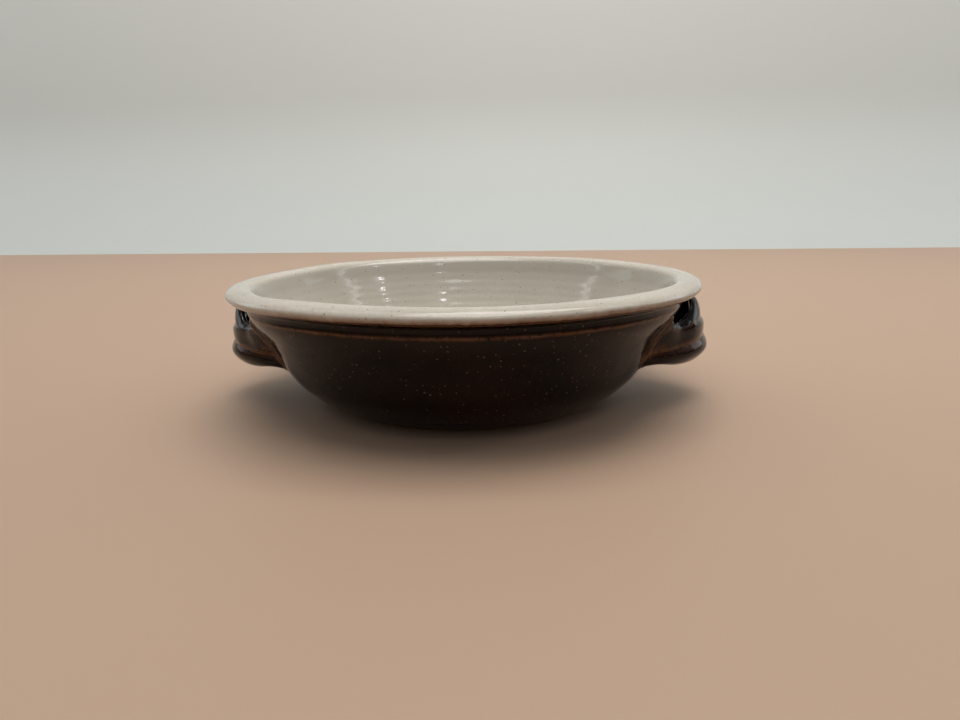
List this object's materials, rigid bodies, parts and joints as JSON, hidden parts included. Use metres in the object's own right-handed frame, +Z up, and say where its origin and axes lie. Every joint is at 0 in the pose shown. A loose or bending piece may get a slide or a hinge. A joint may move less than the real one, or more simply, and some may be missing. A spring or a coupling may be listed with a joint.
{
  "type": "two-handled stoneware bowl",
  "caption": "Low wide thrown stoneware bowl with a broad rounded lip, pale glazed inside, dark glazed outside and ribbed lug handles at its sides.",
  "frame": {"origin": "on the surface the bowl stands on, on the bowl's axis", "axes": "+Z up along the bowl's axis; +X through the right handle; +Y away from the viewer"},
  "size_m": [0.1866, 0.176, 0.0473],
  "materials": {
    "stoneware_clay": "bare fired clay, slightly sandy",
    "pale_glaze": "gloss, finely speckled grey-cream",
    "dark_glaze": "gloss, dark brown, rust where it thins on edges"
  },
  "bodies": {
    "root": {"thrown_body": "stoneware_clay", "liner_glaze": "pale_glaze", "outer_glaze": "dark_glaze", "left_handle": "dark_glaze", "right_handle": "dark_glaze"}
  },
  "joints": []
}
